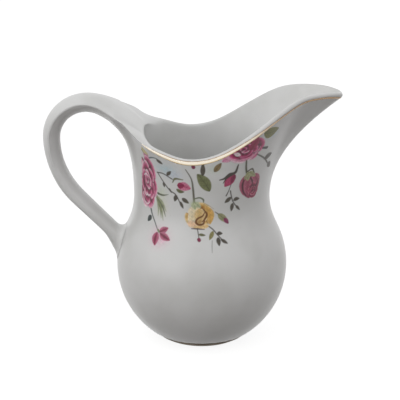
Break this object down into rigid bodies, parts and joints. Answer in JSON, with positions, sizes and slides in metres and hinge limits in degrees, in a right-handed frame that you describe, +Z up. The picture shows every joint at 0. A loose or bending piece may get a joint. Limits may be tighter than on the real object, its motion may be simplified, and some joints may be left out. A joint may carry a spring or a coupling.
{
  "type": "ewer",
  "caption": "White glazed porcelain ewer with a round belly, a swept lip drawn out into a long beak, a strap handle, a gold line on the lip and a printed rose spray",
  "frame": {"origin": "centre of the foot ring, on the plane that it stands on", "axes": "+X points from the handle to the tip of the beak, +Z points up, and +Y points to the rear side"},
  "size_m": [0.215, 0.1246, 0.1865],
  "materials": {
    "porcelain": "white porcelain under a clear gloss glaze, with a rose spray printed below the lip",
    "bare_foot": "unglazed biscuit, wiped clean of glaze and ground flat",
    "gilt": "thin burnished gold line, a little worn"
  },
  "bodies": {
    "root": {"body": "porcelain", "foot_ring": "bare_foot", "handle": "porcelain", "upper_slip_joint": "porcelain", "lower_slip_joint": "porcelain", "gilt_line": "gilt"}
  },
  "joints": []
}
